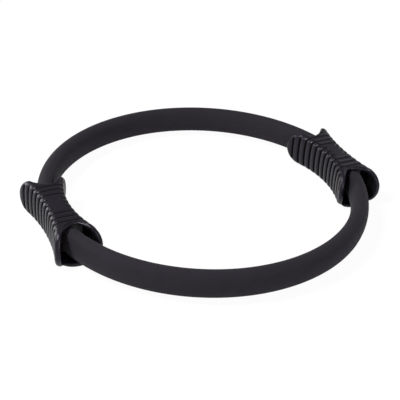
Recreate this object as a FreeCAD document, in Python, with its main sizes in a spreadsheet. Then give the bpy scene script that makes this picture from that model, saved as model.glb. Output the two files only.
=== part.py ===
"""Pilates ring: a sprung hoop in foam-covered arcs, with two clamped, ribbed rubber handles.

The ring's axis is Z and its middle plane is z = 0. The handles stand on the X axis, at +X and -X.
Front is -Y. The hoop is cut where it bends: at the four mouths of the handles and at the middle
of the front and rear arcs. Lengths are in millimetres.
"""
import FreeCAD, Part
import Sketcher
import os

Vector = FreeCAD.Vector
Z_AXIS = Vector(0, 0, 1)

# Driving dimensions: alias, value, meaning
SIZES = [
    ("ring_radius", 179.5, "hoop's centre line"),
    ("foam_thickness", 20.4, "foam across, along the ring's radius"),
    ("mouth_room", 2.5, "between the foam and the grip, above and below"),
    ("foam_end_radius", 9.0, "rounding of the foam's top and bottom"),
    ("band_thickness", 2.5, "one spring band"),
    ("screw_band_gap", 0.9, "between the screw holes and the bands' channel"),
    ("band_gap", 0.3, "between the two spring bands"),
    ("band_clearance", 0.3, "round the pair of bands, in the foam and in the cores"),
    ("core_length", 72.0, "clamping cores, along the handle"),
    ("core_fit", 0.15, "between the cores and the grip"),
    ("core_parting", 3.5, "hoop's centre line to the plane where the cores meet"),
    ("foam_end_gap", 0.3, "foam's end to the end of the cores"),
    ("grip_length", 136.0, "grip from tip to tip"),
    ("grip_height", 42.0, "grip from bottom to top"),
    ("grip_wall", 2.8, "grip's wall"),
    ("grip_edge", 5.0, "rounding of the grip's outer edges"),
    ("grip_hollow_edge", 2.4, "rounding of the long edges of the cores and of the grip's hollow"),
    ("outer_stand", 9.6, "hoop's centre line to the outer face at the waist"),
    ("inner_stand", 20.5, "hoop's centre line to the inner face at the waist"),
    ("outer_flare", 10.6, "rise of the outer face from waist to tip"),
    ("inner_flare", 15.5, "rise of the inner face from waist to tip"),
    ("mouth_reach", 44.0, "grip's middle to the crown of the arch over each mouth"),
    ("mouth_arch", 18.0, "radius of the arch, in plan"),
    ("lip_reach", 60.0, "grip's middle to the end of the lip under each mouth"),
    ("lip_corner", 9.0, "rounding of the lip's corners, in plan"),
    ("groove_pitch", 9.35, "from one groove to the next"),
    ("groove_width", 2.6, "groove across"),
    ("groove_depth", 1.5, "grooves in the inner and outer faces"),
    ("top_groove_depth", 0.9, "grooves in the top and bottom faces"),
    ("groove_hook", 8.0, "run of the short grooves over the edge"),
    ("screw_spacing", 44.0, "clamp screws along the handle"),
    ("screw_edge", 6.15, "screw's axis to the top or bottom of the cores"),
    ("screw_radius", 1.5, "screw's shank"),
    ("screw_length", 16.0, "under the head"),
    ("head_radius", 2.75, "screw's head"),
    ("head_height", 3.0, "screw's head"),
    ("head_seat", 8.0, "parting plane to the seat of the head"),
    ("socket_radius", 1.45, "hexagon socket, over its corners"),
    ("socket_depth", 1.6, "hexagon socket"),
    ("nut_radius", 3.15, "nut over its corners"),
    ("nut_thickness", 2.4, "nut"),
    ("nut_seat", 4.5, "parting plane to the seat of the nut"),
    ("screw_clearance", 0.2, "round the shank, in the cores"),
    ("thread_clearance", 0.05, "round the shank, in the nut"),
    ("seat_clearance", 0.3, "round heads and nuts, in their pockets"),
]

FACE_GROOVES = range(-6, 7)
CROSS_GROOVES = (-4, -3, -2, 2, 3, 4)
SHORT_GROOVES = (-1, 0, 1)

# Lengths worked out from the sheet
STACK = "(2 * Sizes.band_thickness + Sizes.band_gap)"
OUTER_ARC = "((Sizes.grip_length ^ 2 / 4 + Sizes.outer_flare ^ 2) / (2 * Sizes.outer_flare))"
INNER_ARC = "((Sizes.grip_length ^ 2 / 4 + Sizes.inner_flare ^ 2) / (2 * Sizes.inner_flare))"
OUTER_WAIST = "(Sizes.ring_radius + Sizes.outer_stand)"
INNER_WAIST = "(Sizes.ring_radius - Sizes.inner_stand)"
PARTING = "(Sizes.ring_radius - Sizes.core_parting)"
SCREW_ROW = "(Sizes.grip_height / 2 - Sizes.grip_wall - Sizes.core_fit - Sizes.screw_edge)"
SCREW_HOLE = "(Sizes.screw_radius + Sizes.screw_clearance)"
BAND_HEIGHT = f"(2 * ({SCREW_ROW} - {SCREW_HOLE} - Sizes.screw_band_gap - Sizes.band_clearance))"
FOAM_TOP = "(Sizes.grip_height / 2 - Sizes.grip_wall - Sizes.mouth_room)"
HANDLE_ROOM = "(2 * (Sizes.inner_stand + Sizes.inner_flare + Sizes.outer_stand + Sizes.outer_flare))"
CLAMP_ANGLE = "asin(Sizes.core_length / 2 / Sizes.ring_radius)"
FOAM_ANGLE = (
    "asin((Sizes.core_length / 2 + Sizes.foam_end_gap) / (Sizes.ring_radius - Sizes.foam_thickness / 2))"
)

doc = FreeCAD.newDocument("PilatesRing")
sheet = doc.addObject("Spreadsheet::Sheet", "Sizes")
for row, (alias, value, meaning) in enumerate(SIZES, start=1):
    sheet.set(f"A{row}", meaning)
    sheet.set(f"B{row}", str(value))
    sheet.setAlias(f"B{row}", alias)
doc.recompute()

nodes = []


def size(expression):
    """A length or angle worked out by the sheet, as a plain number."""
    result = sheet.evalExpression(expression)
    return float(getattr(result, "Value", result))


def bind(thing, **expressions):
    """Ties properties to expressions. A double underscore stands for a dot in the property's path."""
    for name, expression in expressions.items():
        thing.setExpression(name.replace("__", "."), expression)


def node(thing, label):
    thing.Label = label
    nodes.append(thing)


def new_sketch(body, name, role):
    plane = [feature for feature in body.Origin.OriginFeatures if feature.Role == role][0]
    sketch = body.newObject("Sketcher::SketchObject", name)
    sketch.AttachmentSupport = [(plane, "")]
    sketch.MapMode = "FlatFace"
    return sketch


def dimension(sketch, expression, *constraint):
    """Adds a driving dimension tied to an expression. Its last reference is followed by its value."""
    index = sketch.addConstraint(Sketcher.Constraint(*constraint, size(expression)))
    sketch.setExpression(f"Constraints[{index}]", expression)


def join_ends(sketch, order):
    """Joins the end of each edge to the start of the next, in a closed loop."""
    for first, second in zip(order, order[1:] + order[:1]):
        sketch.addConstraint(Sketcher.Constraint("Coincident", first, 2, second, 1))


def rectangle(sketch, left, right, bottom, top):
    """A rectangle whose sides lie at four expressions, from the sketch's origin."""
    x0, x1, y0, y1 = size(left), size(right), size(bottom), size(top)
    corners = [Vector(x0, y0, 0), Vector(x1, y0, 0), Vector(x1, y1, 0), Vector(x0, y1, 0)]
    sides = [
        sketch.addGeometry(Part.LineSegment(corners[i], corners[(i + 1) % 4]), False)
        for i in range(4)
    ]
    join_ends(sketch, sides)
    for side, direction in zip(sides, ("Horizontal", "Vertical", "Horizontal", "Vertical")):
        sketch.addConstraint(Sketcher.Constraint(direction, side))
    dimension(sketch, left, "DistanceX", -1, 1, sides[0], 1)
    dimension(sketch, bottom, "DistanceY", -1, 1, sides[0], 1)
    dimension(sketch, right, "DistanceX", -1, 1, sides[2], 1)
    dimension(sketch, top, "DistanceY", -1, 1, sides[2], 1)


def face_arc(sketch, centre, radius, half_length, towards):
    """One waisted face in plan: an arc about a centre on the X axis, bulging towards +X or -X."""
    x, r, y = size(centre), size(radius), size(half_length)
    edge = Vector(x + towards * (r ** 2 - y ** 2) ** 0.5, y, 0)
    low, high = Vector(edge.x, -y, 0), edge
    start, end = (low, high) if towards > 0 else (high, low)
    arc = Part.Arc(start, Vector(x + towards * r, 0, 0), end)
    index = sketch.addGeometry(arc, False)
    lower = 1 if towards > 0 else 2
    sketch.addConstraint(Sketcher.Constraint("PointOnObject", index, 3, -1))
    dimension(sketch, centre, "DistanceX", -1, 1, index, 3)
    dimension(sketch, radius, "Radius", index)
    dimension(sketch, half_length, "DistanceY", -1, 1, index, 3 - lower)
    dimension(sketch, f"-({half_length})", "DistanceY", -1, 1, index, lower)
    return index


def waisted_block(name, inset, half_length, height):
    """The handle's plan, drawn in by an inset from the grip's faces, and padded about z = 0."""
    body = doc.addObject("PartDesign::Body", name)
    sketch = new_sketch(body, f"{name}_plan", "XY_Plane")
    outer = face_arc(sketch, f"{OUTER_WAIST} + {OUTER_ARC}", f"{OUTER_ARC} + {inset}", half_length, -1)
    inner = face_arc(sketch, f"{INNER_WAIST} - {INNER_ARC}", f"{INNER_ARC} + {inset}", half_length, 1)
    outer_low, inner_low = sketch.getPoint(outer, 2), sketch.getPoint(inner, 1)
    outer_high, inner_high = sketch.getPoint(outer, 1), sketch.getPoint(inner, 2)
    near_end = sketch.addGeometry(Part.LineSegment(outer_low, inner_low), False)
    far_end = sketch.addGeometry(Part.LineSegment(inner_high, outer_high), False)
    join_ends(sketch, [outer, near_end, inner, far_end])
    pad = body.newObject("PartDesign::Pad", f"{name}_pad")
    pad.Profile = sketch
    pad.SideType = "Symmetric"
    bind(pad, Length=height)
    doc.recompute()
    return body


def face_edges(shape):
    """Names of the curved edges round the waisted faces."""
    rim = []
    for face in shape.Faces:
        surface = face.Surface
        if isinstance(surface, Part.Cylinder) and abs(surface.Axis.z) > 0.99:
            rim += [edge for edge in face.Edges if not isinstance(edge.Curve, Part.Line)]
    return [
        f"Edge{number}"
        for number, edge in enumerate(shape.Edges, start=1)
        if any(edge.isSame(other) for other in rim)
    ]


def round_face_edges(body, radius):
    fillet = body.newObject("PartDesign::Fillet", f"{body.Name}_edges")
    tip = body.Tip if body.Tip is not fillet else fillet.BaseFeature
    fillet.Base = (tip, face_edges(tip.Shape))
    bind(fillet, Radius=radius)
    body.Tip = fillet
    doc.recompute()


def fuse(name, things):
    """Several solids as one object. Solids that don't touch stay separate solids."""
    joined = doc.addObject("Part::MultiFuse", name)
    joined.Shapes = things
    joined.Refine = False
    return joined


def boolean(kind, name, base, tool):
    result = doc.addObject(f"Part::{kind}", name)
    result.Base = base
    result.Tool = tool
    result.Refine = False
    return result


def box(name, x0, x1, y0, y1, z0, z1):
    solid = doc.addObject("Part::Box", name)
    bind(solid, Length=f"{x1} - ({x0})", Width=f"{y1} - ({y0})", Height=f"{z1} - ({z0})")
    bind(solid, Placement__Base__x=x0, Placement__Base__y=y0, Placement__Base__z=z0)
    return solid


def along_x(kind, name, start, y, z, **expressions):
    """A round or hexagonal primitive whose axis points outwards along X."""
    solid = doc.addObject(f"Part::{kind}", name)
    solid.Placement.Rotation = FreeCAD.Rotation(Vector(0, 1, 0), 90)
    bind(solid, Placement__Base__x=start, Placement__Base__y=y, Placement__Base__z=z, **expressions)
    return solid


def hoop_part(name, inner, outer, height, start, sweep):
    """A piece of a flat hoop: a sector between two radii, from a start angle."""
    sector = doc.addObject("Part::Cylinder", f"{name}_sector")
    sector.Placement = FreeCAD.Placement(Vector(), FreeCAD.Rotation(Z_AXIS, size(start)))
    bind(sector, Radius=outer, Height=height, Angle=sweep)
    bind(sector, Placement__Base__z=f"-{height} / 2", Placement__Rotation__Angle=start)
    bore = doc.addObject("Part::Cylinder", f"{name}_bore")
    bind(bore, Radius=inner, Height=f"{height} * 2", Placement__Base__z=f"-{height}")
    return boolean("Cut", name, sector, bore)


def on_both_sides(kind, label, base, tool):
    """One handle piece at each side: the left one mirrors the right one."""
    right = boolean(kind, f"right_{label}", base, tool)
    left = doc.addObject("Part::Mirroring", f"left_{label}")
    left.Source = right
    left.Normal = Vector(1, 0, 0)
    node(right, f"right_{label}")
    node(left, f"left_{label}")


# Grip: a waisted tube with rounded tongues and open mouths
def grip_blank():
    body = waisted_block("grip_blank", "0", "Sizes.grip_length / 2", "Sizes.grip_height")
    sketch = new_sketch(body, "tongue_outline", "YZ_Plane")
    half, radius = "Sizes.grip_length / 2", "Sizes.grip_height / 2"
    rectangle(sketch, f"-2 * {half}", f"2 * {half}", f"-2 * {radius}", f"2 * {radius}")
    run, r = size(f"{half} - {radius}"), size(radius)
    top = sketch.addGeometry(Part.LineSegment(Vector(run, r, 0), Vector(-run, r, 0)), False)
    far = sketch.addGeometry(
        Part.Arc(Vector(-run, r, 0), Vector(-run - r, 0, 0), Vector(-run, -r, 0)), False
    )
    bottom = sketch.addGeometry(Part.LineSegment(Vector(-run, -r, 0), Vector(run, -r, 0)), False)
    near = sketch.addGeometry(
        Part.Arc(Vector(run, -r, 0), Vector(run + r, 0, 0), Vector(run, r, 0)), False
    )
    for first, second in ((top, far), (far, bottom), (bottom, near), (near, top)):
        sketch.addConstraint(Sketcher.Constraint("Tangent", first, 2, second, 1))
    sketch.addConstraint(Sketcher.Constraint("PointOnObject", near, 3, -1))
    sketch.addConstraint(Sketcher.Constraint("PointOnObject", far, 3, -1))
    dimension(sketch, radius, "Radius", near)
    dimension(sketch, f"{half} - {radius}", "DistanceX", -1, 1, near, 3)
    dimension(sketch, f"-({half} - {radius})", "DistanceX", -1, 1, far, 3)
    pocket = body.newObject("PartDesign::Pocket", "tongue_rounding")
    pocket.Profile = sketch
    pocket.Type = "ThroughAll"
    pocket.SideType = "Symmetric"
    doc.recompute()
    round_face_edges(body, "Sizes.grip_edge")
    return body


def lower_lip():
    """A plate in the grip's bottom wall, which runs out of both mouths."""
    body = waisted_block("lower_lip", "Sizes.grip_edge", "Sizes.lip_reach", "Sizes.grip_wall")
    bind(body, Placement__Base__z="(Sizes.grip_wall - Sizes.grip_height) / 2")
    corners = [
        f"Edge{number}"
        for number, edge in enumerate(body.Tip.Shape.Edges, start=1)
        if isinstance(edge.Curve, Part.Line) and abs(edge.Curve.Direction.z) > 0.99
    ]
    fillet = body.newObject("PartDesign::Fillet", "lower_lip_corners")
    fillet.Base = (fillet.BaseFeature, corners)
    bind(fillet, Radius="Sizes.lip_corner")
    body.Tip = fillet
    doc.recompute()
    return body


def mouth_arches():
    """The arch over each mouth, cut upwards through the top wall."""
    arches = []
    for end in (-1, 1):
        arch = doc.addObject("Part::Cylinder", f"mouth_arch{end}")
        bind(arch, Radius="Sizes.mouth_arch", Height="Sizes.grip_height")
        bind(
            arch,
            Placement__Base__x=f"({OUTER_WAIST} + {INNER_WAIST} + Sizes.outer_flare - Sizes.inner_flare) / 2",
            Placement__Base__y=f"{end} * (Sizes.mouth_reach + Sizes.mouth_arch)",
        )
        arches.append(arch)
    return arches


def groove_slab(name, step, x0, x1, z0, z1):
    middle = f"{step} * Sizes.groove_pitch"
    return box(
        name, x0, x1, f"{middle} - Sizes.groove_width / 2", f"{middle} + Sizes.groove_width / 2", z0, z1
    )


def grip_cuts():
    """Everything that the ribs' grooves and the mouths' arches take out of the grip."""
    near, far = f"{INNER_WAIST} - {HANDLE_ROOM}", f"{OUTER_WAIST} + {HANDLE_ROOM}"
    low, high = "-Sizes.grip_height", "Sizes.grip_height"
    slabs = fuse(
        "face_slabs", [groove_slab(f"face_slab{i}", i, near, far, low, high) for i in FACE_GROOVES]
    )
    past_last = f"{FACE_GROOVES[-1]} * Sizes.groove_pitch + Sizes.groove_width"
    floor = waisted_block("groove_floor", "Sizes.groove_depth", past_last, "Sizes.grip_height * 3")
    cuts = [boolean("Cut", "face_grooves", slabs, floor)] + mouth_arches()
    level = "Sizes.grip_height / 2 - Sizes.top_groove_depth"
    outer_hook = f"{OUTER_WAIST} - Sizes.groove_hook"
    inner_hook = f"{INNER_WAIST} + Sizes.groove_hook"
    for side, z0, z1 in (("top", level, high), ("bottom", low, f"-({level})")):
        for step in CROSS_GROOVES:
            cuts.append(groove_slab(f"{side}_cross{step}", step, near, far, z0, z1))
        for step in SHORT_GROOVES:
            cuts.append(groove_slab(f"{side}_outer_hook{step}", step, outer_hook, far, z0, z1))
            cuts.append(groove_slab(f"{side}_inner_hook{step}", step, near, inner_hook, z0, z1))
    return fuse("grip_cuts", cuts)


def make_grips():
    hollow = waisted_block(
        "grip_hollow", "Sizes.grip_wall", "Sizes.grip_length / 2 + Sizes.grip_wall",
        "Sizes.grip_height - 2 * Sizes.grip_wall",
    )
    round_face_edges(hollow, "Sizes.grip_hollow_edge")
    tube = boolean("Cut", "grip_tube", grip_blank(), hollow)
    lipped = fuse("lipped_tube", [tube, lower_lip()])
    on_both_sides("Cut", "grip", lipped, grip_cuts())


# Clamp: two core halves round the bands, four screws and four nuts in each handle
SCREW_PLACES = [
    (f"{i} * Sizes.screw_spacing / 2", f"{j} * {SCREW_ROW}") for i in (-1, 1) for j in (-1, 1)
]


def make_cores():
    inset = "Sizes.grip_wall + Sizes.core_fit"
    blank = waisted_block(
        "core_blank", f"({inset})", "Sizes.core_length / 2", f"Sizes.grip_height - 2 * ({inset})"
    )
    round_face_edges(blank, "Sizes.grip_hollow_edge")
    cuts = [
        hoop_part(
            "band_channel",
            f"Sizes.ring_radius - {STACK} / 2 - Sizes.band_clearance",
            f"Sizes.ring_radius + {STACK} / 2 + Sizes.band_clearance",
            f"({BAND_HEIGHT} + 2 * Sizes.band_clearance)",
            "0 deg",
            "360 deg",
        )
    ]
    for number, (y, z) in enumerate(SCREW_PLACES):
        cuts.append(along_x(
            "Cylinder", f"screw_hole{number}", f"{INNER_WAIST} - {HANDLE_ROOM}", y, z,
            Radius=SCREW_HOLE, Height=f"2 * {HANDLE_ROOM}",
        ))
        cuts.append(along_x(
            "Cylinder", f"head_pocket{number}", f"{PARTING} - Sizes.head_seat - {HANDLE_ROOM}", y, z,
            Radius="Sizes.head_radius + Sizes.seat_clearance", Height=HANDLE_ROOM,
        ))
        cuts.append(along_x(
            "Prism", f"nut_pocket{number}", f"{PARTING} + Sizes.nut_seat", y, z,
            Circumradius="Sizes.nut_radius + Sizes.seat_clearance", Height=HANDLE_ROOM,
        ))
    core = boolean("Cut", "core", blank, fuse("core_cuts", cuts))
    far, length, height = HANDLE_ROOM, "Sizes.core_length", "Sizes.grip_height"
    outside = box("outside_half", PARTING, f"{PARTING} + {far}", f"-{length}", length, f"-{height}", height)
    inside = box("inside_half", f"{PARTING} - {far}", PARTING, f"-{length}", length, f"-{height}", height)
    on_both_sides("Common", "core_outer", core, outside)
    on_both_sides("Common", "core_inner", core, inside)


def make_screws():
    seat = f"{PARTING} - Sizes.head_seat"
    shanks, sockets, nuts, threads = [], [], [], []
    for number, (y, z) in enumerate(SCREW_PLACES):
        head = along_x(
            "Cylinder", f"screw_head{number}", f"{seat} - Sizes.head_height", y, z,
            Radius="Sizes.head_radius", Height="Sizes.head_height",
        )
        shank = along_x(
            "Cylinder", f"screw_shank{number}", seat, y, z,
            Radius="Sizes.screw_radius", Height="Sizes.screw_length",
        )
        shanks.append(fuse(f"screw{number}", [head, shank]))
        sockets.append(along_x(
            "Prism", f"screw_socket{number}", f"{seat} - 2 * Sizes.head_height + Sizes.socket_depth", y, z,
            Circumradius="Sizes.socket_radius", Height="Sizes.head_height",
        ))
        nuts.append(along_x(
            "Prism", f"nut{number}", f"{PARTING} + Sizes.nut_seat", y, z,
            Circumradius="Sizes.nut_radius", Height="Sizes.nut_thickness",
        ))
        threads.append(along_x(
            "Cylinder", f"nut_thread{number}", f"{PARTING} + Sizes.nut_seat - Sizes.nut_thickness", y, z,
            Radius="Sizes.screw_radius + Sizes.thread_clearance", Height="3 * Sizes.nut_thickness",
        ))
    on_both_sides("Cut", "clamp_screws", fuse("screw_blanks", shanks), fuse("screw_sockets", sockets))
    on_both_sides("Cut", "clamp_nuts", fuse("nut_blanks", nuts), fuse("nut_threads", threads))


# Spring bands: an outer and an inner strip, through both handles and round the arcs
BANDS = {
    "band_outer": "Sizes.ring_radius + Sizes.band_gap / 2",
    "band_inner": f"Sizes.ring_radius - {STACK} / 2",
}
# Angle of each handle's middle
SIDES = {"right": "0 deg", "left": "180 deg"}
# Start angle of each quarter, from the mouth's own angle: at the mouth, or at the arc's middle
QUARTERS = {
    "rear_right": "0 deg + {mouth}",
    "rear_left": "90 deg",
    "front_left": "180 deg + {mouth}",
    "front_right": "270 deg",
}


def make_bands():
    for band, inner in BANDS.items():
        outer = f"{inner} + Sizes.band_thickness"
        for side, middle in SIDES.items():
            strip = hoop_part(
                f"{side}_{band}", inner, outer, BAND_HEIGHT,
                f"{middle} - {CLAMP_ANGLE}", f"2 * {CLAMP_ANGLE}",
            )
            node(strip, f"{side}_{band}")
        for quarter, start in QUARTERS.items():
            strip = hoop_part(
                f"{quarter}_{band}", inner, outer, BAND_HEIGHT,
                start.format(mouth=CLAMP_ANGLE), f"90 deg - {CLAMP_ANGLE}",
            )
            node(strip, f"{quarter}_{band}")


# Foam: an oval tube with a flat bore for the bands, turned about the ring's axis
def foam_section(body):
    sketch = new_sketch(body, f"{body.Name}_section", "XZ_Plane")
    centre, end = "Sizes.ring_radius", "Sizes.foam_end_radius"
    width, rise = "Sizes.foam_thickness / 2", f"({FOAM_TOP} - Sizes.foam_end_radius)"
    x, a, e, c = size(centre), size(width), size(end), size(rise)
    side = (a ** 2 + c ** 2 - e ** 2) / (2 * (a - e))
    reach = side / (side - e)
    touch_x, touch_z = (side - a) * (reach - 1), c * reach
    crown = Part.Arc(
        Vector(x + touch_x, touch_z, 0), Vector(x, c + e, 0), Vector(x - touch_x, touch_z, 0)
    )
    inside = Part.Arc(
        Vector(x - touch_x, touch_z, 0), Vector(x - a, 0, 0), Vector(x - touch_x, -touch_z, 0)
    )
    base = Part.Arc(
        Vector(x - touch_x, -touch_z, 0), Vector(x, -c - e, 0), Vector(x + touch_x, -touch_z, 0)
    )
    outside = Part.Arc(
        Vector(x + touch_x, -touch_z, 0), Vector(x + a, 0, 0), Vector(x + touch_x, touch_z, 0)
    )
    arcs = [sketch.addGeometry(arc, False) for arc in (crown, inside, base, outside)]
    for first, second in zip(arcs, arcs[1:] + arcs[:1]):
        sketch.addConstraint(Sketcher.Constraint("Tangent", first, 2, second, 1))
    for arc, sign in ((arcs[0], ""), (arcs[2], "-")):
        dimension(sketch, end, "Radius", arc)
        dimension(sketch, centre, "DistanceX", -1, 1, arc, 3)
        dimension(sketch, f"{sign}{rise}", "DistanceY", -1, 1, arc, 3)
    for arc, sign in ((arcs[1], "-"), (arcs[3], "+")):
        extreme = f"{centre} {sign} {width}"
        point = sketch.addGeometry(Part.Point(Vector(size(extreme), 0, 0)), True)
        dimension(sketch, extreme, "DistanceX", -1, 1, point, 1)
        sketch.addConstraint(Sketcher.Constraint("PointOnObject", point, 1, -1))
        sketch.addConstraint(Sketcher.Constraint("PointOnObject", point, 1, arc))
    half_bore = f"({STACK} / 2 + Sizes.band_clearance)"
    half_slot = f"({BAND_HEIGHT} / 2 + Sizes.band_clearance)"
    rectangle(
        sketch, f"{centre} - {half_bore}", f"{centre} + {half_bore}", f"-{half_slot}", half_slot
    )
    return sketch


def make_foam():
    for quarter, start in QUARTERS.items():
        angle = start.format(mouth=FOAM_ANGLE)
        body = doc.addObject("PartDesign::Body", f"{quarter}_foam")
        section = foam_section(body)
        turned = body.newObject("PartDesign::Revolution", f"{quarter}_turned")
        turned.Profile = section
        axis = [feature for feature in body.Origin.OriginFeatures if feature.Role == "Z_Axis"][0]
        turned.ReferenceAxis = (axis, [""])
        bind(turned, Angle=f"90 deg - {FOAM_ANGLE}")
        body.Placement = FreeCAD.Placement(Vector(), FreeCAD.Rotation(Z_AXIS, size(angle)))
        bind(body, Placement__Rotation__Angle=angle)
        node(body, f"{quarter}_foam")


make_grips()
make_cores()
make_screws()
make_bands()
make_foam()
doc.recompute()

for thing in doc.Objects:
    if "Invalid" in thing.State or "Error" in thing.State:
        raise RuntimeError(f"{thing.Label} failed: {thing.State}")
for piece in nodes:
    if piece.Shape.isNull() or not piece.Shape.isValid():
        raise RuntimeError(f"{piece.Label} has no valid shape")

os.makedirs("parts", exist_ok=True)
for piece in nodes:
    piece.Shape.exportStep(f"parts/{piece.Label}.step")
    print(piece.Label, len(piece.Shape.Solids), "solids", round(piece.Shape.Volume), "mm3")
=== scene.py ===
"""Looks of a pilates ring: foam sleeves, spring bands, ribbed rubber grips and a plain studio.

The ring's axis is Z, its handles stand on the X axis and its front is -Y. Lengths are in metres.
"""
import math

import bmesh
import bpy
from bpy.props import FloatProperty, FloatVectorProperty, PointerProperty
from mathutils import Matrix, Quaternion, Vector


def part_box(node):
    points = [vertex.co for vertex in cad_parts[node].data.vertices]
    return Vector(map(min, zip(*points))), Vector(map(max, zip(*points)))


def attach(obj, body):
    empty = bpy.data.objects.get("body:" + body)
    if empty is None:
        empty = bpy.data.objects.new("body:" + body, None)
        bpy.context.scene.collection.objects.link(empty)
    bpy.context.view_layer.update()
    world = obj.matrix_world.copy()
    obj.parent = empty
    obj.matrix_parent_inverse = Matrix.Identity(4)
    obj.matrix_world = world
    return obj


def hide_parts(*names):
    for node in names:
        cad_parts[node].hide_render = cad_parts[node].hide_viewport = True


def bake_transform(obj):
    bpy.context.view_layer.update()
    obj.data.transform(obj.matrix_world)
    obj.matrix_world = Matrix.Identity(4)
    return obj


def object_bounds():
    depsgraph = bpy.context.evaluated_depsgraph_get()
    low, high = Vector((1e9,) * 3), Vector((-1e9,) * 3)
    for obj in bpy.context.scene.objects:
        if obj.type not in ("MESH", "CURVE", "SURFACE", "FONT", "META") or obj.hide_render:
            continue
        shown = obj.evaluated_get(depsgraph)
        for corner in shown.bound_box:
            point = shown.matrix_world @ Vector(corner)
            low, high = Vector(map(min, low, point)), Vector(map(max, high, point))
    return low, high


bl_info = {
    "name": "Pilates ring",
    "version": (1, 0, 0),
    "blender": (4, 5, 0),
    "location": "View3D > Sidebar > Pilates ring",
    "description": "Builds the visible pieces of a pilates ring on its CAD frame",
    "category": "Object",
}

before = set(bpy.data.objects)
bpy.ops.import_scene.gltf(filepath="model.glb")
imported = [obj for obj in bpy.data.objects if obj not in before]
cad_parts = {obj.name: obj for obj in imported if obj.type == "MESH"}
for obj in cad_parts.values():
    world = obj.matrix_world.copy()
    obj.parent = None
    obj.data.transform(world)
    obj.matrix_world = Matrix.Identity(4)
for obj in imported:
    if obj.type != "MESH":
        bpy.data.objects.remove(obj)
CAD_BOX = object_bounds()
_, GRIP_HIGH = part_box("right_grip")
_, FOAM_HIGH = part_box("rear_right_foam")
_, BAND_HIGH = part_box("rear_right_band_outer")

SIDES = {"right": 1, "left": -1}
ARCS = {"rear": 1, "front": -1}
RING_RADIUS = 0.1795
# Handle's middle to the foam's end, measured on the foam's inner side, and that side's radius
FOAM_END, FOAM_INNER = 0.0373, 0.1693
# Handle's middle to the end of an arc's bands
BAND_END = 0.0367

# Points round the foam's section and round a band's, and steps along an arc
FOAM_POINTS, BAND_POINTS, ARC_STEPS = 64, 4, 160
# Points nearer to each other than this are one point
MERGE = 1e-6

# The grooves of one half grip, by their number from the middle
CROSS_GROOVES = (2, 3, 4)
SHORT_GROOVES = (0, 1)
LAST_GROOVE = 6
# From a groove's middle to a rib's crown: share of the pitch, share of the groove's depth
RIB_PROFILE = ((0.05, 1.0), (0.12, 0.6), (0.2, 0.28), (0.32, 0.08), (0.5, 0.0))
# How fast grooves fade out round an edge, as powers: the last groove, and those above and below
LAST_FADE, HIGH_FADE, LOW_FADE = 6, 2, 3
# Rows of the tongues past the last groove, as angles round the tip
TIP_ANGLES = (73, 78, 83, 87, 90)
# Length of the outer tongues' rounding above and below the middle, as a share of the half height
HIGH_TIP, LOW_TIP = 0.82, 0.65
# Columns from a face's middle to its rounded edge, round that edge, and on to the web's middle
FACE_SHARES = (0, 0.35, 0.7, 1)
EDGE_ANGLES = (22.5, 45, 67.5, 90)
WEB_SHARES = (0.12, 0.28, 0.5, 0.75)
# Rows before the last groove but one where the web starts to change, and rows from arch to lip
WEB_LEAD, LIP_LAG = 3, 2
# Depth of the line round a mouth's rolled band, as a share of the grooves' depth; that share also
# paints shade into the line
LINE_SHARE = 0.6
# Fullness of a mouth's arch and lip in plan, and of the faces' swelling, as powers
ARCH_POWER, SWELL_POWER = 2.2, 3

# Square soft boxes: place, width and power in watts
LAMPS = {
    "key": ((-1.15, 0.1, 1.6), 0.5, 52),
    "fill": ((0.2, -1.6, 0.7), 0.9, 14),
    "rim": ((1.5, 0.9, 1.2), 0.8, 6),
    "edge": ((-1.15, 1.5, 0.36), 0.8, 16),
}
# Half the floor's side, and the floor's distance below the ring
FLOOR_HALF, FLOOR_GAP = 12, 0.0001
SENSOR = 36
WHITE = (1, 1, 1, 1)


def length(name, default, description):
    return FloatProperty(
        name=name, description=description, default=default, min=0, unit="LENGTH", precision=4
    )


def angle(name, default, description):
    return FloatProperty(name=name, description=description, default=default, subtype="ANGLE")


def share(name, default, description):
    return FloatProperty(
        name=name, description=description, default=default, min=0, max=1, subtype="FACTOR"
    )


def colour(name, default, description):
    return FloatVectorProperty(
        name=name, description=description, default=default, size=3, min=0, max=1, subtype="COLOR"
    )


def place(name, default, description):
    return FloatVectorProperty(
        name=name, description=description, default=default, size=3, subtype="TRANSLATION"
    )


class FoamSettings(bpy.types.PropertyGroup):
    radius: length("Ring radius", RING_RADIUS, "Centre line of the hoop")
    top: length("Half height", FOAM_HIGH.z, "Middle plane to the foam's crown")
    side: length("Half thickness", 0.01017, "Centre line to the foam's widest place")
    crown: length("Crown radius", 0.009, "Rounding of the top and bottom")
    bore_side: length("Half bore", 0.00295, "Half the width of the bands' channel")
    bore_top: length("Half bore height", 0.0093, "Half the height of the bands' channel")
    start: angle("Start angle", math.asin(FOAM_END / FOAM_INNER), "Handle's middle to the foam's end")
    bend: length("Bend", 0.14, "Half the stretch over which a squeezed arc changes its curve")
    tint: colour("Colour", (0.0092, 0.0076, 0.0113), "Matte closed-cell foam")
    pale: colour("Pale colour", (0.0143, 0.0121, 0.0172), "Skin between the foam's pores")


class BandSettings(bpy.types.PropertyGroup):
    top: length("Half height", BAND_HIGH.z, "Middle plane to a band's edge")
    thickness: length("Thickness", 0.0025, "One band")
    gap: length("Gap", 0.0003, "Between the two bands")
    start: angle(
        "Start angle", math.asin(BAND_END / RING_RADIUS), "Handle's middle to the end of an arc's band"
    )
    tint: colour("Colour", (0.55, 0.56, 0.36), "Resin")
    fibre: colour("Fibre colour", (0.72, 0.74, 0.6), "Glass fibres along the band")


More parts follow.
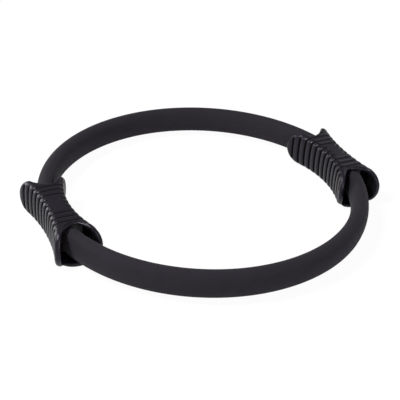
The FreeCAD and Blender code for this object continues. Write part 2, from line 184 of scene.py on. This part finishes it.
class GripSettings(bpy.types.PropertyGroup):
    half: length("Half length", 0.068, "Middle to tip")
    top: length("Half height", GRIP_HIGH.z, "Middle plane to the top")
    outer: length("Outer waist", 0.187, "Ring's axis to the outer face at the waist")
    inner: length("Inner waist", 0.161, "Ring's axis to the inner face at the waist")
    outer_flare: length("Outer flare", 0.0096, "Rise of the outer face from waist to tip")
    inner_flare: length("Inner flare", 0.0175, "Rise of the inner face from waist to tip")
    bulge: length("Bulge", 0.0025, "How far the faces swell at half height")
    edge: length("Edge radius", 0.005, "Rounding of the faces' edges")
    wall: length("Wall", 0.0028, "Thickness of the rubber")
    rim: length("Rim", 0.0046, "Thickness of the rubber round the mouths")
    tongue: length("Tongue", 0.0062, "Thickness of the tongues")
    chin: length("Chin", 0.0047, "Thickness of the lips under the mouths")
    short: length("Shorter inside", 0.003, "How much shorter the inner tongues are than the outer")
    pitch: length("Groove pitch", 0.00935, "One groove to the next")
    depth: length("Groove depth", 0.0019, "Grooves in the faces")
    top_depth: length("Top groove depth", 0.001, "Grooves in the top and bottom")
    mouth: length("Mouth", 0.0418, "Grip's middle to the crown of the arch over a mouth")
    skew: share("Arch skew", 0.48, "How far the arch's crown lies towards the ring's inside")
    lip: length("Lip", 0.065, "Grip's middle to the end of the lip under a mouth")
    band: length("Rim band", 0.0022, "Rolled band round a mouth, outside its line")
    tint: colour("Colour", (0.0066, 0.0056, 0.0088), "Moulded rubber")
    crown_tint: colour("Crown colour", (0.0088, 0.0076, 0.0116), "Rubber where hands rub the ribs")
    # Near-black colour painted into the grooves as their shade
    groove_shade_tint: colour("Groove colour", (0.0016, 0.0015, 0.0018), "Painted shade deep in the grooves")


class ClampSettings(bpy.types.PropertyGroup):
    core: colour("Core colour", (0.018, 0.018, 0.02), "Moulded plastic of the clamping cores")
    steel: colour("Steel colour", (0.56, 0.57, 0.6), "Zinc-plated screws and nuts")


class StageSettings(bpy.types.PropertyGroup):
    floor: colour("Floor colour", (0.9, 0.9, 0.9), "Floor and backdrop")
    whiteness: share("Whiteness", 0.95, "How far the floor is seen as plain white")
    ambient: share("Ambient light", 0.2, "Strength of the world's light on the ring")
    camera: place("Camera", (-0.4456, -0.9066, 0.6095), "Where the camera stands")
    target: place("Target", (-0.0118, -0.0174, 0), "What the camera looks at")
    roll: angle("Roll", math.radians(3.08), "Camera's turn about its own axis")
    lens: FloatProperty(
        name="Lens", description="Focal length on a 36 mm sensor", default=92.3, unit="CAMERA"
    )


class RingSettings(bpy.types.PropertyGroup):
    foam: PointerProperty(type=FoamSettings, name="Foam", description="Foam sleeves")
    bands: PointerProperty(type=BandSettings, name="Bands", description="Spring bands")
    grip: PointerProperty(type=GripSettings, name="Grips", description="Rubber grips")
    clamp: PointerProperty(type=ClampSettings, name="Clamps", description="Cores, screws and nuts")
    stage: PointerProperty(type=StageSettings, name="Stage", description="Floor, light and camera")


class Shade:
    """A shader socket that can be used in arithmetic. Each operation adds a Math node."""

    def __init__(self, tree, socket=None):
        self.tree = tree
        self.socket = socket

    def node(self, kind, inputs=None, output=0, **settings):
        """Adds a node: its settings come first, then the values or links of its sockets."""
        made = self.tree.nodes.new(kind)
        for name, value in settings.items():
            setattr(made, name, value)
        for name, value in (inputs or {}).items():
            if isinstance(value, Shade):
                self.tree.links.new(value.socket, made.inputs[name])
            else:
                made.inputs[name].default_value = value
        return Shade(self.tree, made.outputs[output] if made.outputs else None)

    def math(self, operation, *values):
        return self.node("ShaderNodeMath", dict(enumerate(values)), operation=operation)

    def __add__(self, other):
        return self.math("ADD", self, other)

    def __sub__(self, other):
        return self.math("SUBTRACT", self, other)

    def __rsub__(self, other):
        return self.math("SUBTRACT", other, self)

    def __mul__(self, other):
        return self.math("MULTIPLY", self, other)

    __radd__ = __add__
    __rmul__ = __mul__

    def band(self, low, high, start=0.0, end=1.0):
        """This value eased from start at low to end at high."""
        return self.node(
            "ShaderNodeMapRange",
            {"Value": self, "From Min": low, "From Max": high, "To Min": start, "To Max": end},
            interpolation_type="SMOOTHSTEP",
        )

    def blend(self, first, second):
        """A colour between two, with this value as the share of the second."""
        return self.node(
            "ShaderNodeMix", {0: self, 6: first, 7: second}, output=2, data_type="RGBA"
        )

    def noise(self, place, scale, detail=2.0, roughness=0.5):
        return self.node(
            "ShaderNodeTexNoise",
            {"Vector": place, "Scale": scale, "Detail": detail, "Roughness": roughness},
        )

    def bump(self, height, distance, strength=1.0, normal=None):
        inputs = {"Height": height, "Distance": distance, "Strength": strength}
        if normal:
            inputs["Normal"] = normal
        return self.node("ShaderNodeBump", inputs)


def rgba(tint):
    return (*tint, 1.0)


def new_material(name, tint):
    """An empty surface material, and the Shade that its nodes are added with."""
    material = bpy.data.materials.new(name)
    material.use_nodes = True
    material.node_tree.nodes.clear()
    material.diffuse_color = rgba(tint)
    return material, Shade(material.node_tree)


def principled(shade, **inputs):
    """A Principled shader. An underscore in a socket's name stands for a space."""
    sockets = {name.replace("_", " "): value for name, value in inputs.items()}
    return shade.node("ShaderNodeBsdfPrincipled", sockets)


def end_material(shade, surface):
    """Makes a shader the surface of its material."""
    shade.node("ShaderNodeOutputMaterial", {"Surface": surface})


def object_place(shade):
    return shade.node("ShaderNodeTexCoord", output="Object")


def foam_skin(foam):
    """Closed-cell foam: a soft skin, pinhole pores and a faint mottle."""
    material, shade = new_material("foam_skin", foam.tint)
    place = object_place(shade)
    mottle = shade.noise(place, scale=55, detail=4)
    grain = shade.noise(place, scale=1100, detail=3, roughness=0.6)
    cells = shade.node(
        "ShaderNodeTexVoronoi", {"Vector": place, "Scale": 900.0, "Randomness": 1.0}, feature="F1"
    )
    pores = cells.band(low=0.05, high=0.4)
    tone = pores * 0.45 + grain * 0.3 + mottle.band(low=0.35, high=0.65) * 0.25
    dents = shade.bump(mottle, distance=0.0012, strength=0.25)
    pitted = pores * 0.5 + grain * 0.5
    end_material(shade, principled(
        shade,
        Base_Color=tone.blend(rgba(foam.tint), rgba(foam.pale)),
        Roughness=0.95 - pores * 0.12 + mottle * 0.05,
        Normal=shade.bump(pitted, distance=0.00016, strength=0.8, normal=dents),
        Sheen_Weight=0.03,
        Sheen_Roughness=0.45,
        Specular_IOR_Level=0.15,
    ))
    return material


def grip_rubber(grip):
    """Moulded rubber: fine spark texture, grooves darkened with painted shade, and ribs polished by
    hands.
    """
    material, shade = new_material("grip_rubber", grip.tint)
    place = object_place(shade)
    groove = shade.node("ShaderNodeAttribute", output="Fac", attribute_name="groove")
    spark = shade.noise(place, scale=2600, detail=2, roughness=0.55)
    smear = shade.noise(place, scale=90, detail=5, roughness=0.6)
    crown = 1 - groove.band(low=0.02, high=0.4)
    rubbed = crown * smear.band(low=0.3, high=0.7, start=0.35, end=1)
    waves = shade.bump(smear, distance=0.0004, strength=0.12)
    normal = shade.bump(spark, distance=0.00007, strength=0.7, normal=waves)
    skin = principled(
        shade,
        Base_Color=rubbed.blend(rgba(grip.tint), rgba(grip.crown_tint)),
        Roughness=0.38 - rubbed * 0.1 + spark * 0.08,
        Normal=normal,
        Specular_IOR_Level=0.21,
        Specular_Tint=(0.97, 0.92, 1.0, 1.0),
    )
    # Painted shade: near-black, barely reflective rubber is mixed in where the grooves run deep,
    # standing in for the shade inside them
    depth = principled(
        shade,
        Base_Color=rgba(grip.groove_shade_tint),
        Roughness=0.9,
        Normal=normal,
        Specular_IOR_Level=0.05,
    )
    groove_shade_share = groove.band(low=0.2, high=0.62)
    end_material(shade, shade.node("ShaderNodeMixShader", {0: groove_shade_share, 1: skin, 2: depth}))
    return material


def band_resin(bands):
    """Pulled glass fibre: pale strands along the band in clear resin."""
    material, shade = new_material("band_resin", bands.tint)
    x, y, z = (
        shade.node("ShaderNodeSeparateXYZ", {0: object_place(shade)}, output=axis)
        for axis in ("X", "Y", "Z")
    )
    round_ring = shade.math("ARCTAN2", y, x)
    across = shade.math("SQRT", x * x + y * y)
    strand_place = shade.node(
        "ShaderNodeCombineXYZ", {"X": round_ring * 4.0, "Y": z * 900.0, "Z": across * 900.0}
    )
    strands = shade.noise(strand_place, scale=1.0, detail=3, roughness=0.6)
    pale = strands.band(low=0.35, high=0.65)
    end_material(shade, principled(
        shade,
        Base_Color=pale.blend(rgba(bands.tint), rgba(bands.fibre)),
        Roughness=0.3 + strands * 0.2,
        Normal=shade.bump(strands, distance=0.0001, strength=0.5),
        Coat_Weight=0.3,
    ))
    return material


def core_plastic(clamp):
    """Moulded plastic with an eroded surface."""
    material, shade = new_material("core_plastic", clamp.core)
    place = object_place(shade)
    spark = shade.noise(place, scale=1800, detail=3, roughness=0.6)
    flow = shade.noise(place, scale=70, detail=3)
    paler = [1.5 * part for part in clamp.core]
    end_material(shade, principled(
        shade,
        Base_Color=flow.blend(rgba(clamp.core), rgba(paler)),
        Roughness=0.55 + spark * 0.2,
        Normal=shade.bump(spark, distance=0.00008, strength=0.7),
    ))
    return material


def clamp_steel(clamp):
    """Zinc-plated steel with turning marks round the screws' axes."""
    material, shade = new_material("clamp_steel", clamp.steel)
    place = object_place(shade)
    along = shade.node("ShaderNodeSeparateXYZ", {0: place}, output="X")
    ridges = shade.math("SINE", along * 9000.0) * 0.5 + 0.5
    clouds = shade.noise(place, scale=600, detail=4)
    duller = [0.8 * part for part in clamp.steel]
    end_material(shade, principled(
        shade,
        Base_Color=clouds.band(low=0.3, high=0.7).blend(rgba(duller), rgba(clamp.steel)),
        Metallic=1.0,
        Roughness=0.25 + clouds * 0.2,
        Normal=shade.bump(ridges, distance=0.00003, strength=0.4),
    ))
    return material


def add_piece(name, bm, material):
    """A smooth mesh object at the origin, made from a bmesh that is then freed."""
    mesh = bpy.data.meshes.new(name)
    for face in bm.faces:
        face.smooth = True
    bm.to_mesh(mesh)
    bm.free()
    piece = bpy.data.objects.new(name, mesh)
    bpy.context.scene.collection.objects.link(piece)
    mesh.materials.append(material)
    return piece


def dress_node(name, material):
    """Gives a CAD node's object its finish."""
    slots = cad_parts[name].data.materials
    slots.clear()
    slots.append(material)


def merge_doubles(bm):
    bmesh.ops.remove_doubles(bm, verts=bm.verts[:], dist=MERGE)


def mirrored(bm, axis):
    """Adds the mirror image across a plane through the origin and closes the seam."""
    geometry = [*bm.verts, *bm.edges, *bm.faces]
    bmesh.ops.mirror(bm, geom=geometry, matrix=Matrix(), merge_dist=MERGE, axis=axis)
    merge_doubles(bm)


def section_loop(bm, outline, points, radius):
    """A closed section of the hoop in the XZ plane. The outline turns a unit circle into it."""
    ring = bmesh.ops.create_circle(bm, segments=points, radius=1, cap_ends=False)["verts"]
    edges = list({edge for vert in ring for edge in vert.link_edges})
    for vert in ring:
        across, up = outline(vert.co.x, vert.co.y)
        vert.co = Vector((radius + across, 0, up))
    return edges


def spun_arc(bm, loops, start, end):
    """Turns section loops about the ring's axis and closes both ends."""
    verts = list({vert for edges in loops for edge in edges for vert in edge.verts})
    bmesh.ops.rotate(bm, verts=verts, cent=(0, 0, 0), matrix=Matrix.Rotation(start, 3, "Z"))
    first = [edge for edges in loops for edge in edges]
    turned = bmesh.ops.spin(
        bm, geom=first, cent=(0, 0, 0), axis=(0, 0, 1), angle=end - start, steps=ARC_STEPS
    )["geom_last"]
    last = [part for part in turned if isinstance(part, bmesh.types.BMEdge)]
    for rim in (first, last):
        if len(loops) > 1:
            bmesh.ops.bridge_loops(bm, edges=rim)
        else:
            bmesh.ops.contextual_create(bm, geom=rim)
    merge_doubles(bm)
    bmesh.ops.recalc_face_normals(bm, faces=bm.faces[:])


def foam_outline(foam):
    """The foam's oval: a crown arc at top and bottom, and a flatter arc at each side."""
    rise = foam.top - foam.crown
    side = (foam.side ** 2 + rise ** 2 - foam.crown ** 2) / (2 * (foam.side - foam.crown))
    turn = math.atan2(rise, side - foam.side)

    def point(across, up):
        if abs(up) > math.sin(turn):
            return foam.crown * across, math.copysign(rise, up) + foam.crown * up
        return side * across - math.copysign(side - foam.side, across), side * up

    return point


def box_outline(half_width, half_height):
    """A rectangle, met by rays from its middle."""
    def point(across, up):
        reach = 1 / max(abs(across) / half_width, abs(up) / half_height)
        return reach * across, reach * up

    return point


def arc_span(arc, start):
    """First and last angle of the rear or front arc."""
    turn = 0 if ARCS[arc] > 0 else math.pi
    return turn + start, turn + math.pi - start


def bend_with_arc(piece):
    """Bakes the piece's placement into its mesh."""
    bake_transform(piece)


class RING_OT_foam(bpy.types.Operator):
    """Makes the foam sleeves of the front and rear arcs"""

    bl_idname = "pilates_ring.foam"
    bl_label = "Foam sleeves"

    def execute(self, context):
        foam = context.scene.pilates_ring.foam
        material = foam_skin(foam)
        for arc in ARCS:
            bm = bmesh.new()
            channel = box_outline(foam.bore_side, foam.bore_top)
            skin = section_loop(bm, foam_outline(foam), FOAM_POINTS, foam.radius)
            bore = section_loop(bm, channel, FOAM_POINTS, foam.radius)
            spun_arc(bm, (skin, bore), *arc_span(arc, foam.start))
            sleeve = add_piece(f"{arc}_foam_sleeve", bm, material)
            bend_with_arc(sleeve)
            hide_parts(f"{arc}_left_foam", f"{arc}_right_foam")
        return {"FINISHED"}


class RING_OT_bands(bpy.types.Operator):
    """Makes the spring bands of both arcs and finishes those in the handles"""

    bl_idname = "pilates_ring.bands"
    bl_label = "Spring bands"

    def execute(self, context):
        ring = context.scene.pilates_ring
        bands = ring.bands
        material = band_resin(bands)
        half = bands.thickness / 2
        for label, offset in (("outer", 1), ("inner", -1)):
            radius = ring.foam.radius + offset * (bands.gap / 2 + half)
            for arc in ARCS:
                bm = bmesh.new()
                strip = section_loop(bm, box_outline(half, bands.top), BAND_POINTS, radius)
                for vert in bm.verts:
                    vert.co.z = math.copysign(bands.top, vert.co.z)
                spun_arc(bm, (strip,), *arc_span(arc, bands.start))
                band = add_piece(f"{arc}_band_{label}", bm, material)
                bend_with_arc(band)
                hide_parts(f"{arc}_left_band_{label}", f"{arc}_right_band_{label}")
            for side in SIDES:
                dress_node(f"{side}_band_{label}", material)
        return {"FINISHED"}


class GripShape:
    """Where the points of a quarter of the right grip's skin lie, above or below half height."""

    def __init__(self, grip, upper):
        self.grip = grip
        self.upper = upper
        self.rows = self.row_places()
        self.columns = self.column_places()
        self.web_row = self.first_row(LAST_GROOVE - 1) - WEB_LEAD
        self.mouth_row = self.first_row(LAST_GROOVE) + (0 if upper else LIP_LAG)

    def row_places(self):
        """Rows from the middle to the tip: place along the grip, groove, share of its depth."""
        pitch = self.grip.pitch
        rows = [(0.0, 0, 1.0)]
        for number in range(LAST_GROOVE + 1):
            rows += [((number + away) * pitch, number, part) for away, part in RIB_PROFILE]
            if number < LAST_GROOVE:
                back = reversed(RIB_PROFILE[:-1])
                rows += [((number + 1 - away) * pitch, number + 1, part) for away, part in back]
        reach = self.grip.top - self.grip.edge
        run = self.grip.half - self.grip.top
        for turn in TIP_ANGLES:
            rows.append((run + reach * math.sin(math.radians(turn)), LAST_GROOVE, 0.0))
        return rows

    def first_row(self, groove):
        """The first row, from the middle, that belongs to a groove."""
        return [number for _, number, _ in self.rows].index(groove)

    def column_places(self):
        """Columns from the outer face's middle, over the top, to the inner face's middle."""
        half = [("face", part) for part in FACE_SHARES]
        half += [("edge", math.radians(turn)) for turn in EDGE_ANGLES]
        half += [("web", part) for part in WEB_SHARES]
        outer = [(kind, value, 1) for kind, value in half]
        inner = [(kind, value, -1) for kind, value in reversed(half)]
        return outer + [("middle", 1, 0)] + inner

    def face_place(self, y, z, side):
        """Ring's axis to the outer or inner face, which is waisted, and swollen at half height."""
        grip = self.grip
        waist = grip.outer if side > 0 else grip.inner
        flare = grip.outer_flare if side > 0 else grip.inner_flare
        arc = (grip.half ** 2 + flare ** 2) / (2 * flare)
        swell = grip.bulge * (1 - abs(z / grip.top) ** SWELL_POWER)
        return waist + side * (arc - math.sqrt(arc ** 2 - y ** 2) + swell)

    def half_web(self, y):
        """Half the width of the web between the rounded edges."""
        along = min(y, self.grip.half)
        outer, inner = (self.face_place(along, self.grip.top, side) for side in (1, -1))
        return (outer - inner) / 2 - self.grip.edge

    def groove_share(self, number, kind, value):
        """How deep a groove runs at a column, as a share of its depth on the faces."""
        grip = self.grip
        top = grip.top_depth / grip.depth
        crosses, hooks = number in CROSS_GROOVES, number in SHORT_GROOVES
        if kind == "face":
            return 1.0
        if kind == "edge":
            lowered = top if crosses or hooks else 0.0
            fade = HIGH_FADE if self.upper else LOW_FADE
            if number == LAST_GROOVE:
                fade = LAST_FADE
            return lowered + (1 - lowered) * (1 - value / math.radians(90)) ** fade
        if kind == "web" and hooks:
            return top if value == WEB_SHARES[0] else 0.0
        return top if crosses else 0.0

    def web_place(self, y, value, side):
        """A row's place on the web. Near the mouth it draws in to the arch or out to the lip."""
        start, end = (self.rows[row][0] for row in (self.web_row, self.mouth_row))
        if y <= start:
            return y
        side_end = self.rim(end, side).x
        middle_end = self.grip.mouth if self.upper else self.grip.lip
        skew = self.grip.skew if self.upper else 0
        beside = side * (1 - value) + skew
        beside /= 1 + math.copysign(skew, beside)
        reach = middle_end + (side_end - middle_end) * abs(beside) ** ARCH_POWER
        last = self.rows[self.mouth_row - 1][0]
        if y > last:
            return reach
        return start + (reach - self.grip.band - start) * (y - start) / (last - start)

    def tip_start(self, side):
        """Where the outline leaves the straight for the tongue's rounding."""
        outer = HIGH_TIP if self.upper else LOW_TIP
        return self.grip.half - self.grip.top * (outer if side > 0 else 1)

    def lean(self, y, side):
        """Direction from a row's foot to the grip's outline: up, then forwards round the tip."""
        start = self.tip_start(side)
        forwards = (y - start) / (self.grip.half - self.grip.edge - start)
        turn = math.asin(min(1.0, max(0.0, forwards)))
        return Vector((math.sin(turn), math.cos(turn)))

    def foot(self, y, side):
        """Where a row leaves the face for the rounded edge."""
        return Vector((y, (self.grip.top - self.grip.edge) * self.lean(y, side).y))

    def rim(self, y, side):
        """Where a row meets the grip's outline."""
        return self.foot(y, side) + self.lean(y, side) * self.grip.edge

    def shortened(self, along):
        """A place along the inner face, drawn back past the last groove's start."""
        start = self.rows[self.first_row(LAST_GROOVE)][0]
        return along - self.grip.short * max(0.0, along - start) / (self.grip.half - start)

    def thickness(self, y):
        """The wall's thickness, which grows towards the tongues."""
        start, end = (self.rows[row][0] for row in (self.web_row, self.mouth_row))
        part = min(1.0, max(0.0, (y - start) / (end - start)))
        return self.grip.wall + (self.grip.tongue - self.grip.wall) * part ** 2

    def point(self, row, column):
        """A skin point, the groove's share there and the wall's thickness."""
        grip = self.grip
        y, number, part = self.rows[row]
        kind, value, side = self.columns[column]
        on_web = kind in ("web", "middle")
        groove = part * self.groove_share(number, kind, value)
        if self.upper and on_web and row == self.mouth_row - 1:
            groove = LINE_SHARE
        cut = groove * grip.depth
        wall = min(self.thickness(y), grip.chin if on_web else grip.tongue) - cut
        if kind == "face":
            place, inset = Vector((y, self.foot(y, side).y * value)), cut
        elif kind == "edge":
            place = self.foot(y, side) + self.lean(y, side) * (grip.edge - cut) * math.sin(value)
            inset = grip.edge - (grip.edge - cut) * math.cos(value)
        elif row > self.mouth_row:
            place, inset = self.rim(y, side), grip.edge + value * self.half_web(y)
        else:
            along = self.web_place(y, value, side)
            drop = max(0.0, along - self.tip_start(side)) if self.upper else 0.0
            place = Vector((along, math.sqrt(grip.top ** 2 - drop ** 2) - cut))
            inset = grip.edge + value * self.half_web(along)
            if row == self.mouth_row:
                wall = (grip.rim if self.upper else grip.chin) - (grip.top - place.y)
        if side < 0 and (not on_web or row > self.mouth_row):
            place.x = self.shortened(place.x)
        if kind == "middle":
            x = (self.face_place(place.x, 0, 1) + self.face_place(place.x, 0, -1)) / 2
        else:
            x = self.face_place(min(place.x, grip.half), place.y, side) - side * inset
        z = place.y if self.upper else -place.y
        return Vector((x, place.x, z)), groove, max(wall, grip.wall / 2)


def grip_quarter(bm, shape, groove, wall):
    """Adds a quarter of the grip's skin from a grid, open at the mouth."""
    rows, columns = len(shape.rows) - 1, len(shape.columns) - 1
    grid = bmesh.ops.create_grid(bm, x_segments=rows, y_segments=columns, size=1)["verts"]
    # The web's first column, which stays beside the mouth as the tongues' rolled rim
    web = len(FACE_SHARES) + len(EDGE_ANGLES)

    def row_and_column(place):
        return (place.x + 1) / 2 * rows, (place.y + 1) / 2 * columns

    spare = []
    for face in {face for vert in grid for face in vert.link_faces}:
        row, column = row_and_column(face.calc_center_median())
        if row > shape.mouth_row and web < column < columns - web:
            spare.append(face)
    bmesh.ops.delete(bm, geom=spare, context="FACES")
    for vert in grid:
        if vert.is_valid:
            row, column = row_and_column(vert.co)
            vert.co, vert[groove], vert[wall] = shape.point(round(row), round(column))


def grip_skin(grip):
    """The grip's skin: an upper and a lower quarter, joined at half height and mirrored."""
    bm = bmesh.new()
    # The groove layer holds each point's share of the groove depth, which the rubber also uses to
    # paint shade into the grooves
    groove = bm.verts.layers.float.new("groove")
    wall = bm.verts.layers.float.new("wall")
    for upper in (True, False):
        grip_quarter(bm, GripShape(grip, upper), groove, wall)
    merge_doubles(bm)
    mirrored(bm, "Y")
    return bm


class RING_OT_grips(bpy.types.Operator):
    """Makes the ribbed rubber grips of both handles"""

    bl_idname = "pilates_ring.grips"
    bl_label = "Rubber grips"

    def execute(self, context):
        grip = context.scene.pilates_ring.grip
        material = grip_rubber(grip)
        for side, sign in SIDES.items():
            bm = grip_skin(grip)
            bmesh.ops.scale(bm, verts=bm.verts[:], vec=(sign, 1, 1))
            bmesh.ops.recalc_face_normals(bm, faces=bm.faces[:])
            sleeve = add_piece(f"{side}_grip_sleeve", bm, material)
            group = sleeve.vertex_groups.new(name="wall")
            for vert, item in zip(sleeve.data.vertices, sleeve.data.attributes["wall"].data):
                group.add([vert.index], item.value / grip.tongue, "REPLACE")
            thicken = sleeve.modifiers.new("wall", "SOLIDIFY")
            thicken.thickness = grip.tongue
            thicken.offset = -1
            thicken.vertex_group = "wall"
            smooth = sleeve.modifiers.new("rounding", "SUBSURF")
            smooth.levels = smooth.render_levels = 1
            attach(sleeve, f"{side}_handle")
            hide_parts(f"{side}_grip")
        return {"FINISHED"}


class RING_OT_clamps(bpy.types.Operator):
    """Finishes the clamping cores, screws and nuts in both handles"""

    bl_idname = "pilates_ring.clamps"
    bl_label = "Clamps"

    def execute(self, context):
        clamp = context.scene.pilates_ring.clamp
        plastic, steel = core_plastic(clamp), clamp_steel(clamp)
        for side in SIDES:
            for label in ("core_outer", "core_inner"):
                dress_node(f"{side}_{label}", plastic)
            for label in ("clamp_screws", "clamp_nuts"):
                dress_node(f"{side}_{label}", steel)
        return {"FINISHED"}


def backdrop_white(stage):
    """A pale floor that is seen as white and still takes a soft shadow."""
    material, shade = new_material("backdrop_white", stage.floor)
    grain = shade.noise(object_place(shade), scale=400)
    matt = principled(shade, Base_Color=rgba(stage.floor), Roughness=0.9 + grain * 0.05)
    white = shade.node("ShaderNodeEmission", {"Color": WHITE, "Strength": 1.0})
    seen = shade.node("ShaderNodeLightPath", output="Is Camera Ray")
    reflected = shade.node("ShaderNodeLightPath", output="Is Glossy Ray")
    whitened = shade.math("MAXIMUM", seen, reflected) * stage.whiteness
    end_material(shade, shade.node("ShaderNodeMixShader", {0: whitened, 1: matt, 2: white}))
    return material


def add_lamp(name, place, size, power):
    """A square soft box that looks at the ring's centre."""
    lamp = bpy.data.lights.new(name, "AREA")
    lamp.size = size
    lamp.energy = power
    holder = bpy.data.objects.new(name, lamp)
    holder.location = place
    holder.rotation_mode = "QUATERNION"
    holder.rotation_quaternion = (-Vector(place)).to_track_quat("-Z", "Y")
    bpy.context.scene.collection.objects.link(holder)


def add_camera(stage):
    camera = bpy.data.cameras.new("camera")
    camera.lens = stage.lens
    camera.sensor_width = SENSOR
    camera.dof.use_dof = False
    holder = bpy.data.objects.new("camera", camera)
    holder.location = stage.camera
    aim = (Vector(stage.target) - Vector(stage.camera)).to_track_quat("-Z", "Y")
    holder.rotation_mode = "QUATERNION"
    holder.rotation_quaternion = aim @ Quaternion((0, 0, 1), stage.roll)
    bpy.context.scene.collection.objects.link(holder)
    bpy.context.scene.camera = holder


def add_world(stage):
    """Plain white to the camera, and a weaker white light on the ring."""
    world = bpy.data.worlds.new("studio")
    world.use_nodes = True
    world.node_tree.nodes.clear()
    shade = Shade(world.node_tree)
    seen = shade.node("ShaderNodeLightPath", output="Is Camera Ray")
    strength = seen.band(low=0, high=1, start=stage.ambient, end=1)
    light = shade.node("ShaderNodeBackground", {"Color": WHITE, "Strength": strength})
    shade.node("ShaderNodeOutputWorld", {"Surface": light})
    bpy.context.scene.world = world


class RING_OT_stage(bpy.types.Operator):
    """Sets up the floor, soft light, world and camera"""

    bl_idname = "pilates_ring.stage"
    bl_label = "Stage"

    def execute(self, context):
        stage = context.scene.pilates_ring.stage
        bm = bmesh.new()
        bmesh.ops.create_grid(bm, x_segments=2, y_segments=2, size=FLOOR_HALF)
        bmesh.ops.translate(bm, verts=bm.verts[:], vec=(0, 0, CAD_BOX[0][2] - FLOOR_GAP))
        add_piece("floor", bm, backdrop_white(stage))
        for name, (place, size, power) in LAMPS.items():
            add_lamp(name, place, size, power)
        add_world(stage)
        add_camera(stage)
        context.scene.view_settings.view_transform = "Standard"
        return {"FINISHED"}


class RING_PT_panel(bpy.types.Panel):
    """Builds the pilates ring piece by piece"""

    bl_idname = "RING_PT_panel"
    bl_label = "Pilates ring"
    bl_space_type = "VIEW_3D"
    bl_region_type = "UI"
    bl_category = "Pilates ring"

    def draw(self, context):
        ring = context.scene.pilates_ring
        for operator, settings in (
            (RING_OT_foam, ring.foam),
            (RING_OT_bands, ring.bands),
            (RING_OT_grips, ring.grip),
            (RING_OT_clamps, ring.clamp),
            (RING_OT_stage, ring.stage),
        ):
            box = self.layout.box()
            box.operator(operator.bl_idname)
            for name in settings.bl_rna.properties.keys():
                if name not in ("rna_type", "name"):
                    box.prop(settings, name)


CLASSES = (
    FoamSettings, BandSettings, GripSettings, ClampSettings, StageSettings, RingSettings,
    RING_OT_foam, RING_OT_bands, RING_OT_grips, RING_OT_clamps, RING_OT_stage, RING_PT_panel,
)


def register():
    for item in CLASSES:
        bpy.utils.register_class(item)
    bpy.types.Scene.pilates_ring = PointerProperty(type=RingSettings)


def unregister():
    del bpy.types.Scene.pilates_ring
    for item in reversed(CLASSES):
        bpy.utils.unregister_class(item)


def main():
    register()
    bpy.ops.pilates_ring.foam()
    bpy.ops.pilates_ring.bands()
    bpy.ops.pilates_ring.grips()
    bpy.ops.pilates_ring.clamps()
    bpy.ops.pilates_ring.stage()


if __name__ == "__main__":
    main()
